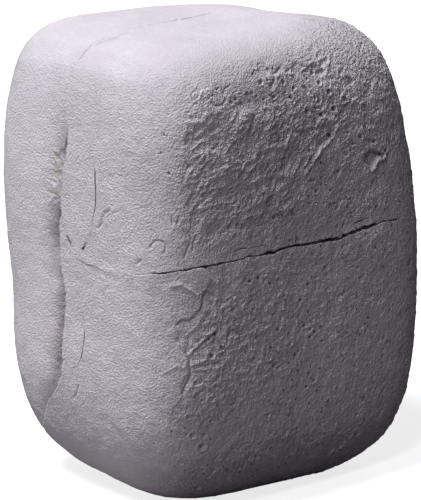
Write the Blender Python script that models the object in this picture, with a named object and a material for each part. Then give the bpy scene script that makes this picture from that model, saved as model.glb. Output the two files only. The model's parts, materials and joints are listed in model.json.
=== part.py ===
"""Worn gymnastics chalk block, cracked through in two planes.

The block is pressed magnesium carbonate, a rounded rectangular cake with no wrapper.
A level crack and an upright crack part it into three chunks. Along both cracks thin
flakes of the pressed skin have come loose: two lens plates beside the upright crack
on the left face, a flap at the near end of the level crack, and two slivers along it.

The front is -Y and the left face, with the upright crack, is -X. The block stands on
its flat base, with the origin at the middle of the base. All sizes below are in
millimetres, and the meshes are made in metres.
"""

import math

import bmesh
import bpy
from mathutils import Matrix, Vector

MM = 0.001

# Overall size of the pressed cake, and the flat worn on its underside.
WIDTH = 49.8
DEPTH = 39.8
HEIGHT = 63.5
BASE_WEAR = 1.3
# The cake is widest a little below its middle.
WAIST_BELOW_MIDDLE = 6.4

# Squareness of each upright corner seen in plan: 2 is a round, 8 is nearly sharp.
CORNER_FRONT_LEFT = 3.8
CORNER_BACK_LEFT = 4.15
CORNER_FRONT_RIGHT = 4.6
CORNER_BACK_RIGHT = 3.2
# Squareness of the top and bottom edges, which differ from left to right.
TOP_EDGE_LEFT = 7.5
TOP_EDGE_RIGHT = 3.2
BOTTOM_EDGE_LEFT = 2.7
BOTTOM_EDGE_RIGHT = 3.85

# Cuts along each edge of the cube that the cake is shaped from.
SKIN_CUTS = 19
# Distance between the rows of points on a fracture sheet.
SHEET_STEP = 3.2

# Wear and swelling of the plain form: where each one is centred, how far it spreads, how high it stands.
SWELLS = (
    ((23, -17, 29), 15, 0.9),
    ((19, -15, 52), 12, -0.9),
    ((16, -12, 60), 12, 1.5),
    ((4, -4, 64), 14, -0.9),
    ((-22.5, 15.5, 43), 11, 0.9),
    ((-22, 15, 22), 14, -0.4),
    ((-16, -2, 2), 8, 0.8),
    ((14, -14, 3), 14, 0.3),
    ((24, -15, 14), 12, 0.3),
)

# Clearance across every crack, and around every loose flake.
GAP = 0.3

# The level crack: height above the base at places across the width.
LEVEL_CRACK = ((-40, 34.0), (-25, 34.2), (-20, 35.1), (-14, 35.6), (-5, 35.8), (6, 35.4), (12, 36.4),
               (19, 35.8), (40, 35.5))
# It dips by this much from the front to the back, and ripples a little inside.
LEVEL_CRACK_DIP = 0.6
LEVEL_CRACK_RIPPLE = 0.4
RIPPLE_ACROSS = 0.31
RIPPLE_BACK = 0.42

# The upright crack: distance behind the middle plane at heights above the base, on the left face.
UPRIGHT_CRACK = ((-10, 29.0), (16, 3.7), (19, 2.3), (25, 1.6), (29, 0.9), (32, 2.0), (37, 2.2), (43, 1.2),
                 (50, 0.2), (57, 1.2), (61, 0.9), (90, 1.2))
# How much farther back it runs at places across the width.
UPRIGHT_CRACK_ACROSS = ((-40, 0.0), (-24, 0.0), (-17, -2.7), (-8, -0.2), (3, 1.6), (14, 0.8), (40, 2.0))
# Half the width of the stretch that a crack's corners are rounded over.
CRACK_ROUNDING = 1.2

# Room outside the block that the fracture solids reach into, and the same for the flakes' plugs.
OUTSIDE = 15.0
PLUG_OUTSIDE = 5.0

HALF_WIDTH = WIDTH / 2
HALF_DEPTH = DEPTH / 2
FULL_HEIGHT = HEIGHT + BASE_WEAR
HEART = Vector((0, 0, FULL_HEIGHT / 2 - BASE_WEAR - WAIST_BELOW_MIDDLE))
RISE = HEIGHT - HEART.z
DROP = HEART.z + BASE_WEAR

# Loose flakes: where the middle of each one lies on the skin, the way it faces and comes
# away, its half length and half height, the turn of its long side, and its thickness.
FLAKES = {
    "upper_skin_plate": dict(
        middle=(-25.0, -2.2, 43.6), outward=(-1, 0, 0), turn=-3,
        half_length=3.5, half_height=7.8, thickness=1.7,
    ),
    "lower_skin_plate": dict(
        middle=(-24.8, -0.2, 24.3), outward=(-1, 0, 0), turn=-3,
        half_length=2.7, half_height=5.2, thickness=1.4,
    ),
    "crack_end_flap": dict(
        middle=(-19.4, -17.5, 34.0), outward=(-6, -8, -2), turn=-14,
        half_length=3.0, half_height=2.0, thickness=1.8,
    ),
    "middle_crack_sliver": dict(
        middle=(-10.8, -19.8, 35.8), outward=(0, -1, 0), turn=0,
        half_length=3.9, half_height=1.1, thickness=2.0,
    ),
    "right_crack_sliver": dict(
        middle=(8.6, -20.0, 35.8), outward=(0, -1, 0), turn=7,
        half_length=3.2, half_height=1.2, thickness=2.0,
    ),
}
# A flake's inner end is this much of its outer size, so that it comes away freely.
FLAKE_TAPER = 0.62
# Depth behind the front face in which the level crack runs straight back, so that flakes slide out.
FLAKE_ROOM = 4.0
FLAKE_SIDES = 28

# Edges that meet at a sharper angle than this stay crisp.
CRISP_ANGLE = math.radians(35)
CHALK_ROUGHNESS = 0.92
LOWER_COLOUR = (0.71, 0.70, 0.73)
UPPER_COLOUR = (0.74, 0.73, 0.76)
SLAB_COLOUR = (0.75, 0.74, 0.77)
SKIN_COLOUR = (0.77, 0.76, 0.79)


def clear_scene():
    for obj in list(bpy.data.objects):
        bpy.data.objects.remove(obj, do_unlink=True)


def smooth_step(t):
    t = min(max(t, 0.0), 1.0)
    return t * t * (3 - 2 * t)


def along(points, at):
    """Value at a place on the straight stretches between (place, value) points."""
    for (a, low), (b, high) in zip(points, points[1:]):
        if at <= b:
            return low + (high - low) * (at - a) / (b - a)
    return points[-1][1]


def eased(points, at):
    """The same line with its corners rounded off."""
    shifts = (-CRACK_ROUNDING, 0, CRACK_ROUNDING)
    return sum(along(points, at + shift) for shift in shifts) / len(shifts)


def skin_reach(direction):
    """How many times direction goes into the distance from the heart to the smooth skin."""
    x = direction.x / HALF_WIDTH
    y = direction.y / HALF_DEPTH
    z = direction.z / (RISE if direction.z > 0 else DROP)
    if x < 0:
        corner = CORNER_FRONT_LEFT if y < 0 else CORNER_BACK_LEFT
    else:
        corner = CORNER_FRONT_RIGHT if y < 0 else CORNER_BACK_RIGHT
    leftness = 0.5 - 0.5 * x / max(math.hypot(x, y), 1e-9)
    if direction.z > 0:
        edge = TOP_EDGE_RIGHT + (TOP_EDGE_LEFT - TOP_EDGE_RIGHT) * leftness
    else:
        edge = BOTTOM_EDGE_RIGHT + (BOTTOM_EDGE_LEFT - BOTTOM_EDGE_RIGHT) * leftness
    plan = (abs(x) ** corner + abs(y) ** corner) ** (1 / corner)
    return 1 / (plan**edge + abs(z) ** edge) ** (1 / edge)


def skin_point(direction):
    """Point of the worn skin that lies from the heart in this direction."""
    plain = HEART + direction * skin_reach(direction)
    swell = 0.0
    for centre, spread, height in SWELLS:
        away = (plain - Vector(centre)).length / spread
        swell += height * math.exp(-(away**2))
    return plain + direction.normalized() * swell


def level_crack(x, y):
    """Height of the level crack at a place in plan."""
    inside = smooth_step((y + HALF_DEPTH - FLAKE_ROOM) / FLAKE_ROOM)
    dip = LEVEL_CRACK_DIP * inside * (y + HALF_DEPTH) / DEPTH
    ripple = LEVEL_CRACK_RIPPLE * inside * math.sin(RIPPLE_ACROSS * x + 1.0) * math.sin(RIPPLE_BACK * y)
    return eased(LEVEL_CRACK, x) - dip + ripple


def upright_crack(x, z):
    """How far back the upright crack runs, at a place seen from the front."""
    return eased(UPRIGHT_CRACK, z) + eased(UPRIGHT_CRACK_ACROSS, x)


def make_object(name, bm):
    """Object from a bmesh drawn in millimetres."""
    bmesh.ops.recalc_face_normals(bm, faces=bm.faces)
    bmesh.ops.scale(bm, vec=(MM, MM, MM), verts=bm.verts)
    mesh = bpy.data.meshes.new(name)
    bm.to_mesh(mesh)
    bm.free()
    obj = bpy.data.objects.new(name, mesh)
    bpy.context.scene.collection.objects.link(obj)
    return obj


def make_cutter(name, bm):
    obj = make_object(name, bm)
    obj.hide_render = True
    obj.display_type = "WIRE"
    return obj


def block_bmesh():
    """The whole cake: a subdivided cube pushed out to the skin, with the worn base cut flat."""
    bm = bmesh.new()
    bmesh.ops.create_cube(bm, size=2)
    bmesh.ops.subdivide_edges(bm, edges=bm.edges, cuts=SKIN_CUTS, use_grid_fill=True)
    for vert in bm.verts:
        # An even turn from point to point, so that they stay evenly spread on the rounded skin.
        spread = Vector([math.tan(math.radians(45) * c) for c in vert.co])
        direction = Vector((spread.x * HALF_WIDTH, spread.y * HALF_DEPTH, spread.z * (RISE + DROP) / 2))
        vert.co = skin_point(direction)
    everything = bm.verts[:] + bm.edges[:] + bm.faces[:]
    cut = bmesh.ops.bisect_plane(
        bm, geom=everything, plane_co=(0, 0, 0), plane_no=(0, 0, 1), clear_inner=True
    )
    rim = [item for item in cut["geom_cut"] if isinstance(item, bmesh.types.BMEdge)]
    bmesh.ops.contextual_create(bm, geom=rim)
    return bm


def fracture_solid(name, spans, to_point, far):
    """Closed solid with one face on a fracture sheet, and the rest of it well outside the block.

    spans are the two in-plane ranges, to_point turns (u, v, None) into a point of the
    sheet and (u, v, far) into a point of the flat outer face opposite.
    """
    (u_low, u_high), (v_low, v_high) = spans
    u_count = math.ceil((u_high - u_low) / SHEET_STEP)
    v_count = math.ceil((v_high - v_low) / SHEET_STEP)
    bm = bmesh.new()
    near = []
    away = []
    for i in range(u_count + 1):
        u = u_low + (u_high - u_low) * i / u_count
        column = [v_low + (v_high - v_low) * j / v_count for j in range(v_count + 1)]
        near.append([bm.verts.new(to_point(u, v, None)) for v in column])
        away.append([bm.verts.new(to_point(u, v, far)) for v in column])
    for i in range(u_count):
        for j in range(v_count):
            for sheet in (near, away):
                bm.faces.new((sheet[i][j], sheet[i + 1][j], sheet[i + 1][j + 1], sheet[i][j + 1]))
    rim = [near[i][0] for i in range(u_count)]
    rim += [near[u_count][j] for j in range(v_count)]
    rim += [near[i][v_count] for i in range(u_count, 0, -1)]
    rim += [near[0][j] for j in range(v_count, 0, -1)]
    other = [away[i][0] for i in range(u_count)]
    other += [away[u_count][j] for j in range(v_count)]
    other += [away[i][v_count] for i in range(u_count, 0, -1)]
    other += [away[0][j] for j in range(v_count, 0, -1)]
    for k, corner in enumerate(rim):
        following = (k + 1) % len(rim)
        bm.faces.new((corner, rim[following], other[following], other[k]))
    return make_cutter(name, bm)


def level_solid(name, side):
    """Everything above the level crack (side 1) or below it (side -1)."""
    across = HALF_WIDTH + OUTSIDE
    back = HALF_DEPTH + OUTSIDE
    spans = ((-across, across), (-back, back))
    far = HEIGHT + OUTSIDE if side > 0 else -OUTSIDE

    def to_point(x, y, z):
        return (x, y, level_crack(x, y) + side * GAP / 2 if z is None else z)

    return fracture_solid(name, spans, to_point, far)


def upright_solid(name, side):
    """Everything behind the upright crack (side 1) or in front of it (side -1)."""
    across = HALF_WIDTH + OUTSIDE
    spans = ((-across, across), (-OUTSIDE, HEIGHT + OUTSIDE))
    far = side * (HALF_DEPTH + 2 * OUTSIDE)

    def to_point(x, z, y):
        return (x, upright_crack(x, z) + side * GAP / 2 if y is None else y, z)

    return fracture_solid(name, spans, to_point, far)


def flake_axes(flake):
    """Middle, sideways, upward and outward directions of a flake."""
    outward = Vector(flake["outward"]).normalized()
    sideways = Vector((0, 0, 1)).cross(outward).normalized()
    turn = Matrix.Rotation(math.radians(flake["turn"]), 3, outward)
    return Vector(flake["middle"]), turn @ sideways, turn @ outward.cross(sideways), outward


def flake_plug(name, flake, grow):
    """Tapered plug that holds a flake, or its pocket when grow is the clearance."""
    middle, sideways, upward, outward = flake_axes(flake)
    bm = bmesh.new()
    levels = ((PLUG_OUTSIDE, 1.0), (0.0, 1.0), (-flake["thickness"] - grow, FLAKE_TAPER))
    rings = []
    for height, share in levels:
        length = flake["half_length"] * share + grow
        tall = flake["half_height"] * share + grow
        ring = []
        for k in range(FLAKE_SIDES):
            angle = 2 * math.pi * k / FLAKE_SIDES
            offset = sideways * (length * math.cos(angle)) + upward * (tall * math.sin(angle))
            ring.append(bm.verts.new(middle + outward * height + offset))
        rings.append(ring)
    for upper, lower in zip(rings, rings[1:]):
        for k in range(FLAKE_SIDES):
            following = (k + 1) % FLAKE_SIDES
            bm.faces.new((upper[k], upper[following], lower[following], lower[k]))
    bm.faces.new(rings[0])
    bm.faces.new(rings[-1])
    return make_cutter(name, bm)


def add_boolean(piece, cutter, operation):
    modifier = piece.modifiers.new(cutter.name, "BOOLEAN")
    modifier.operation = operation
    modifier.solver = "EXACT"
    modifier.object = cutter


def chalk(name, colour):
    """Matt pressed chalk, a Principled material."""
    material = bpy.data.materials.new(name)
    material.use_nodes = True
    shader = material.node_tree.nodes["Principled BSDF"]
    shader.inputs["Base Color"].default_value = (*colour, 1)
    shader.inputs["Roughness"].default_value = CHALK_ROUGHNESS
    shader.inputs["Metallic"].default_value = 0.0
    material.diffuse_color = (*colour, 1)
    return material


def make_piece(name, origin, keep, pockets, colour):
    """One piece of the block: the whole cake, kept only inside the keep solids, less its pockets."""
    piece = make_object(name, block_bmesh())
    shift = Vector(origin) * MM
    piece.data.transform(Matrix.Translation(-shift))
    piece.location = shift
    piece.data.materials.append(chalk(name + "_chalk", colour))
    piece.data.shade_smooth()
    piece.data.set_sharp_from_angle(angle=CRISP_ANGLE)
    for solid in keep:
        add_boolean(piece, solid, "INTERSECT")
    for pocket in pockets:
        add_boolean(piece, pocket, "DIFFERENCE")
    return piece


def build():
    clear_scene()
    above = level_solid("above_level_crack", 1)
    below = level_solid("below_level_crack", -1)
    behind = upright_solid("behind_upright_crack", 1)
    before = upright_solid("before_upright_crack", -1)
    plugs = {name: flake_plug(name + "_plug", flake, 0.0) for name, flake in FLAKES.items()}
    pockets = {name: flake_plug(name + "_pocket", flake, GAP) for name, flake in FLAKES.items()}

    upper_flakes = ("upper_skin_plate", "middle_crack_sliver", "right_crack_sliver")
    lower_flakes = ("lower_skin_plate", "crack_end_flap")
    middle_height = (0, 0, eased(LEVEL_CRACK, 0))
    lower_pockets = [pockets[name] for name in lower_flakes]
    upper_pockets = [pockets[name] for name in upper_flakes]
    make_piece("lower_chunk", (0, 0, 0), (before, below), lower_pockets, LOWER_COLOUR)
    make_piece("upper_chunk", middle_height, (before, above), upper_pockets, UPPER_COLOUR)
    make_piece("back_slab", middle_height, (behind,), [], SLAB_COLOUR)
    for name in upper_flakes:
        make_piece(name, FLAKES[name]["middle"], (before, above, plugs[name]), [], SKIN_COLOUR)
    for name in lower_flakes:
        make_piece(name, FLAKES[name]["middle"], (before, below, plugs[name]), [], SKIN_COLOUR)


build()
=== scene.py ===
"""Looks of the worn gymnastics chalk block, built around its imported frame.

Each CAD piece is replaced by a finely remeshed copy. Its outer skin is drawn onto the smooth
form of the block and then given the real surface: the crack lips, the scars where the pressed
skin broke off, pits, ring marks, creases and grain. Shapes are worked out in millimetres, in
the frame's own axes: -Y is the front face, -X the left face, and z is 0 at the base.
"""
import json
import math
from itertools import product

import bmesh
import bpy
import numpy as np
from mathutils import Matrix, Vector


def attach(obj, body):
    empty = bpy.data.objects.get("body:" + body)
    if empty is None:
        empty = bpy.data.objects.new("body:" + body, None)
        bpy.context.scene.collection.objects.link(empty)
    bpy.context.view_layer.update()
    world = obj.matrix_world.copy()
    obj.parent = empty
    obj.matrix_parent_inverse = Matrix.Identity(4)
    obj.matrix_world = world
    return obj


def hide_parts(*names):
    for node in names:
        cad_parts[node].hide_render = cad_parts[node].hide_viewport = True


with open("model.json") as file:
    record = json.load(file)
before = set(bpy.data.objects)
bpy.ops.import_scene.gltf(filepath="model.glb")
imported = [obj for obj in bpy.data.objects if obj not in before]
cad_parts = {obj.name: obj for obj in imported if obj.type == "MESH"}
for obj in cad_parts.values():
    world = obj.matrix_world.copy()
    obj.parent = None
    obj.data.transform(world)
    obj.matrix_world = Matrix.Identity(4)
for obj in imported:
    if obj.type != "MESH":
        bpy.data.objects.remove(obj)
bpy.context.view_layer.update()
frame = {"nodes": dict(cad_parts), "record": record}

MM = 0.001

# The plain form of the block: plan, height, flat base and the level of its widest part.
WIDTH = 49.8
DEPTH = 39.8
HEIGHT = 63.5
BASE_WEAR = 1.3
WAIST_BELOW_MIDDLE = 6.4
CORNER_FRONT_LEFT = 3.8
CORNER_BACK_LEFT = 4.15
CORNER_FRONT_RIGHT = 4.6
CORNER_BACK_RIGHT = 3.2
TOP_EDGE_LEFT = 7.5
TOP_EDGE_RIGHT = 3.2
BOTTOM_EDGE_LEFT = 2.7
BOTTOM_EDGE_RIGHT = 3.85
HALF_WIDTH = WIDTH / 2
HALF_DEPTH = DEPTH / 2
HEART_HEIGHT = (HEIGHT + BASE_WEAR) / 2 - BASE_WEAR - WAIST_BELOW_MIDDLE
HEART = np.array([0.0, 0.0, HEART_HEIGHT])
RISE = HEIGHT - HEART_HEIGHT
DROP = HEART_HEIGHT + BASE_WEAR
SWELLS = (
    ((23, -17, 29), 15, 0.9),
    ((19, -15, 52), 12, -0.9),
    ((16, -12, 60), 12, 1.5),
    ((4, -4, 64), 14, -0.9),
    ((-22.5, 15.5, 43), 11, 0.9),
    ((-22, 15, 22), 14, -0.4),
    ((-16, -2, 2), 8, 0.8),
    ((14, -14, 3), 14, 0.3),
    ((24, -15, 14), 12, 0.3),
)

# The two cracks, as in the CAD.
GAP = 0.3
LEVEL_CRACK = (
    (-40, 34.0), (-25, 34.2), (-20, 35.1), (-14, 35.6), (-5, 35.8), (6, 35.4), (12, 36.4), (19, 35.8),
    (40, 35.5),
)
LEVEL_CRACK_DIP = 0.6
LEVEL_CRACK_RIPPLE = 0.4
UPRIGHT_CRACK = (
    (-10, 29.0), (16, 3.7), (19, 2.3), (25, 1.6), (29, 0.9), (32, 2.0), (37, 2.2), (43, 1.2), (50, 0.2),
    (57, 1.2), (61, 0.9), (90, 1.2),
)
UPRIGHT_CRACK_ACROSS = (
    (-40, 0.0), (-24, 0.0), (-17, -2.7), (-8, -0.2), (3, 1.6), (14, 0.8), (40, 2.0),
)
CRACK_ROUNDING = 1.2
FLAKE_ROOM = 4.0
FLAKE_TAPER = 0.62
FLAKES = {
    "upper_skin_plate": dict(
        middle=(-25.0, -2.2, 43.6), outward=(-1, 0, 0),
        half_length=3.5, half_height=7.8, turn=-3, thickness=1.7,
    ),
    "lower_skin_plate": dict(
        middle=(-24.8, -0.2, 24.3), outward=(-1, 0, 0),
        half_length=2.7, half_height=5.2, turn=-3, thickness=1.4,
    ),
    "crack_end_flap": dict(
        middle=(-19.4, -17.5, 34.0), outward=(-6, -8, -2),
        half_length=3.0, half_height=2.0, turn=-14, thickness=1.8,
    ),
    "middle_crack_sliver": dict(
        middle=(-10.8, -19.8, 35.8), outward=(0, -1, 0),
        half_length=3.9, half_height=1.1, turn=0, thickness=2.0,
    ),
    "right_crack_sliver": dict(
        middle=(8.6, -20.0, 35.8), outward=(0, -1, 0),
        half_length=3.2, half_height=1.2, turn=7, thickness=2.0,
    ),
}

# Size of the remeshed faces.
CHUNK_GRID = 0.2
FLAKE_GRID = 0.11
# The faces that are halved again: their depth below the skin, and how far round and back they reach.
SPLIT_DEPTH = 0.45
SPLIT_SIDE = 0.6
SPLIT_BACK = 8

NOISE_TABLE = 4096
random_table = np.random.default_rng(7).uniform(-1, 1, (NOISE_TABLE, 3))


# ------ noise and simple curves

def smooth_step(t):
    t = np.clip(t, 0.0, 1.0)
    return t * t * (3 - 2 * t)


def rise(value, start, width):
    """0 up to the start, then smoothly up to 1 over this width."""
    return smooth_step((value - start) / width)


def fall(value, end, width):
    """Smoothly down over this width to 0 at the end."""
    return smooth_step((end - value) / width)


def bell(t):
    return np.exp(-(t**2))


def along(points, at):
    """Value on the straight stretches between (place, value) points."""
    places, values = zip(*points)
    return np.interp(at, places, values)


def eased(points, at):
    shifts = (-CRACK_ROUNDING, 0, CRACK_ROUNDING)
    return sum(along(points, at + shift) for shift in shifts) / len(shifts)


def table_row(cell, seed):
    mixed = cell[..., 0] * 73856093 ^ cell[..., 1] * 19349663 ^ cell[..., 2] * 83492791 ^ seed * 2654435761
    mixed = (mixed ^ (mixed >> 13)) * 1274126177
    return (mixed ^ (mixed >> 16)) % NOISE_TABLE


def noise(points, size, seed):
    """Smooth gradient noise between about -1 and 1, with features of this size."""
    scaled = points / size
    cell = np.floor(scaled).astype(np.int64)
    part = scaled - cell
    fade = part**3 * (part * (part * 6 - 15) + 10)
    total = np.zeros(len(points))
    for corner in product((0, 1), repeat=3):
        step = np.array(corner)
        slope = random_table[table_row(cell + step, seed)]
        weight = np.prod(np.where(step == 1, fade, 1 - fade), axis=1)
        total += weight * ((part - step) * slope).sum(axis=1)
    return total * 1.7


def cells(points, size, seed):
    """Distance to the nearest scattered point, in cell sizes, and that point's three random values."""
    scaled = points / size
    cell = np.floor(scaled).astype(np.int64)
    part = scaled - cell
    nearest = np.full(len(points), 9.0)
    owner = np.zeros(len(points), np.int64)
    for corner in product((-1, 0, 1), repeat=3):
        step = np.array(corner)
        row = table_row(cell + step, seed)
        place = step + 0.5 + 0.45 * random_table[row]
        distance = ((part - place) ** 2).sum(axis=1)
        closer = distance < nearest
        nearest[closer] = distance[closer]
        owner[closer] = row[closer]
    return np.sqrt(nearest), random_table[(owner * 7 + 13) % NOISE_TABLE]


# ------ the plain form and the cracks

def skin_radius(direction):
    """Distance from the heart to the worn skin along unit directions."""
    x = direction[:, 0] / HALF_WIDTH
    y = direction[:, 1] / HALF_DEPTH
    upward = direction[:, 2] > 0
    z = np.abs(direction[:, 2]) / np.where(upward, RISE, DROP)
    left_corner = np.where(y < 0, CORNER_FRONT_LEFT, CORNER_BACK_LEFT)
    right_corner = np.where(y < 0, CORNER_FRONT_RIGHT, CORNER_BACK_RIGHT)
    corner = np.where(x < 0, left_corner, right_corner)
    leftness = 0.5 - 0.5 * x / np.maximum(np.hypot(x, y), 1e-9)
    top_edge = TOP_EDGE_RIGHT + (TOP_EDGE_LEFT - TOP_EDGE_RIGHT) * leftness
    bottom_edge = BOTTOM_EDGE_RIGHT + (BOTTOM_EDGE_LEFT - BOTTOM_EDGE_RIGHT) * leftness
    edge = np.where(upward, top_edge, bottom_edge)
    plan = (np.abs(x) ** corner + np.abs(y) ** corner) ** (1 / corner)
    radius = (plan**edge + z**edge) ** (-1 / edge)
    plain = HEART + direction * radius[:, None]
    for centre, spread, height in SWELLS:
        radius = radius + height * np.exp(-((plain - np.array(centre)) ** 2).sum(axis=1) / spread**2)
    return radius


def level_crack(x, y):
    inside = smooth_step((y + HALF_DEPTH - FLAKE_ROOM) / FLAKE_ROOM)
    dip = LEVEL_CRACK_DIP * inside * (y + HALF_DEPTH) / DEPTH
    ripple = LEVEL_CRACK_RIPPLE * inside * np.sin(0.31 * x + 1.0) * np.sin(0.42 * y)
    return eased(LEVEL_CRACK, x) - dip + ripple


def upright_crack(x, z):
    return eased(UPRIGHT_CRACK, z) + eased(UPRIGHT_CRACK_ACROSS, x)


def round_the_front(points):
    """Place on the unrolled skin: 0 at the near edge, positive over the front, negative on the left."""
    return points[:, 0] + HALF_WIDTH - points[:, 1] - HALF_DEPTH


# ------ from CAD node to fine mesh

def add_object(name, data):
    thing = bpy.data.objects.new(name, data)
    bpy.context.scene.collection.objects.link(thing)
    return thing


def mesh_points(mesh):
    points = np.empty(len(mesh.vertices) * 3)
    mesh.vertices.foreach_get("co", points)
    return points.reshape(-1, 3)


def split_marked_faces(mesh):
    """Halves the faces on the two sides of the block that carry the named marks."""
    spoke = mesh_points(mesh) - HEART
    distance = np.linalg.norm(spoke, axis=1)
    depth = skin_radius(spoke / distance[:, None]) - distance
    marked = (depth < SPLIT_DEPTH) & (spoke[:, 0] / HALF_WIDTH + spoke[:, 1] / HALF_DEPTH < SPLIT_SIDE)
    marked &= spoke[:, 1] < SPLIT_BACK
    bm = bmesh.new()
    bm.from_mesh(mesh)
    bm.verts.ensure_lookup_table()
    for vertex, chosen in zip(bm.verts, marked.tolist()):
        vertex.select = chosen
    edges = [edge for edge in bm.edges if edge.verts[0].select and edge.verts[1].select]
    bmesh.ops.subdivide_edges(bm, edges=edges, cuts=1, use_grid_fill=True)
    bm.to_mesh(mesh)
    bm.free()


def fine_copy(node, grid):
    """Remeshed copy of a CAD node, as points in millimetres and faces."""
    mesh = frame["nodes"][node].data.copy()
    mesh.transform(Matrix.Scale(1 / MM, 4))
    bm = bmesh.new()
    bm.from_mesh(mesh)
    bmesh.ops.remove_doubles(bm, verts=bm.verts, dist=1e-4)
    bm.to_mesh(mesh)
    bm.free()
    rough = add_object("rough", mesh)
    remesh = rough.modifiers.new("fine", "REMESH")
    remesh.mode = "VOXEL"
    remesh.voxel_size = grid
    graph = bpy.context.evaluated_depsgraph_get()
    fine = bpy.data.meshes.new_from_object(rough.evaluated_get(graph))
    bpy.data.objects.remove(rough)
    split_marked_faces(fine)
    return fine, mesh_points(fine)


def make_piece(node, body, grid, material):
    fine, points = fine_copy(node, grid)
    moved, marks = shape_piece(node, points)
    fine.vertices.foreach_set("co", (moved * MM).astype(np.float32).ravel())
    for name, values in marks.items():
        layer = fine.attributes.new(name, "FLOAT", "POINT")
        layer.data.foreach_set("value", values.astype(np.float32))
    fine.update()
    fine.shade_smooth()
    piece = add_object(node + "_chalk", fine)
    fine.materials.clear()
    fine.materials.append(material)
    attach(piece, body)
    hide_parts(node)
    return piece


# ------ cracks and loose flakes

# Which side of each crack a chunk lies on: 1 is above the level crack or behind the upright one.
LEVEL_SIDE = {"upper_chunk": 1, "lower_chunk": -1}
UPRIGHT_SIDE = {"upper_chunk": -1, "lower_chunk": -1, "back_slab": 1}
FLAKE_HOST = {
    "upper_skin_plate": "upper_chunk",
    "lower_skin_plate": "lower_chunk",
    "crack_end_flap": "lower_chunk",
    "middle_crack_sliver": "upper_chunk",
    "right_crack_sliver": "upper_chunk",
}
# Half the width of a seam that has closed up: its lips just overlap.
SHUT = -0.12
# Half the width of the level crack's mouth across the front face.
LEVEL_MOUTH = (
    (-22.8, SHUT), (-22, 0.06), (-20, 0.12), (-17.5, 0.15), (-16.9, 0.06), (-15.2, 0.15), (-14.6, 0.04),
    (-14, 0.1), (-8.5, 0.08), (-8.0, 0.32), (-6.5, 0.33), (-5.3, 0.18), (-2.3, 0.2), (1.3, 0.28),
    (5.9, 0.28), (9.6, 0.34), (11.7, 0.2), (13.5, 0.07), (16, 0.04), (17.5, SHUT),
)
# The same for the upright crack up the left face, and back over the top.
UPRIGHT_MOUTH = (
    (7, SHUT), (10, 0.04), (14, 0.12), (17.5, 0.2), (19.5, 0.28), (23.5, 0.32), (26, 0.2), (29, 0.24),
    (32, 0.22), (33, 0.04), (34.5, 0.24), (40, 0.24), (42, 0.05), (46.5, 0.02), (47.5, 0.28), (49, 0.26),
    (50, 0.08), (51.5, -0.02), (53, SHUT), (59, SHUT), (60.5, 0.12), (61.5, 0.12), (62, 0.03),
)
TOP_MOUTH = (
    (-23, 0.15), (-21.5, 0.15), (-20.5, -0.03), (-18.5, -0.04), (-15, 0.02), (-12, 0.0), (-8, 0.05),
    (-2, 0.07), (2.5, 0.03), (4, SHUT),
)
# Flakes whose rims the upright crack cuts into.
BESIDE_UPRIGHT = ("upper_skin_plate", "lower_skin_plate")
# Stretch of each flake's rim that shows as an open groove: its middle and half its length in degrees,
# and half the width of its mouth.
OPEN_RIM = {
    "upper_skin_plate": (0, 34, 0.01),
    "lower_skin_plate": (0, 50, 0.02),
    "crack_end_flap": (-95, 40, -0.06),
    "middle_crack_sliver": (90, 50, 0.0),
    "right_crack_sliver": (110, 60, 0.02),
}
RIM_FADE = 12
# The same wandering on both sides of a rim makes its outline ragged: its amount, size and reach.
RAGGED_RIM = 0.25
RAGGED_SIZE = 1.8
RAGGED_REACH = 1.5
# How far a crack's shape carries into the chalk beside it, and below the skin.
LIP_SPREAD = 0.5
LIP_DEPTH = 1.0
# Waves of a broken face: size across and height.
FRACTURE_WAVES = ((5, 0.22), (2, 0.15), (0.9, 0.14))


def fracture_waves(points, seed):
    """Roughness of a broken face, the same for both of its sides."""
    return sum(tall * noise(points, size, seed + int(size)) for size, tall in FRACTURE_WAVES)


def carry(gap_side):
    """Share of a crack's shape felt at this distance from its wall."""
    return np.exp(-np.maximum(gap_side, 0) / LIP_SPREAD)


def cross_level_crack(side, points, near_skin):
    x, y, _ = points.T
    beyond = side * (points[:, 2] - level_crack(x, y)) - GAP / 2
    on_front = fall(y, -11, 3)
    mouth = SHUT + (along(LEVEL_MOUTH, x) - SHUT) * on_front
    flat = np.column_stack((x, y, np.zeros(len(x))))
    shift = np.zeros_like(points)
    shift[:, 2] = carry(beyond) * (fracture_waves(flat, 20) + side * (mouth - GAP / 2) * near_skin)
    return shift


def cross_upright_crack(side, points, near_skin):
    x, _, z = points.T
    beyond = side * (points[:, 1] - upright_crack(x, z)) - GAP / 2
    on_left = fall(x, -20, 3) * (z < 62)
    on_top = rise(z, 61, 1.5) * (1 - on_left)
    mouth = SHUT + (along(UPRIGHT_MOUTH, z) - SHUT) * on_left + (along(TOP_MOUTH, x) - SHUT) * on_top
    flat = np.column_stack((x, np.zeros(len(x)), z))
    shift = np.zeros_like(points)
    shift[:, 1] = carry(beyond) * (fracture_waves(flat, 30) + side * (mouth - GAP / 2) * near_skin)
    return shift


def flake_axes(flake):
    outward = Vector(flake["outward"]).normalized()
    sideways = Vector((0, 0, 1)).cross(outward).normalized()
    turn = Matrix.Rotation(math.radians(flake["turn"]), 3, outward)
    upward = turn @ outward.cross(sideways)
    return np.array(flake["middle"]), np.array(turn @ sideways), np.array(upward), np.array(outward)


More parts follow.
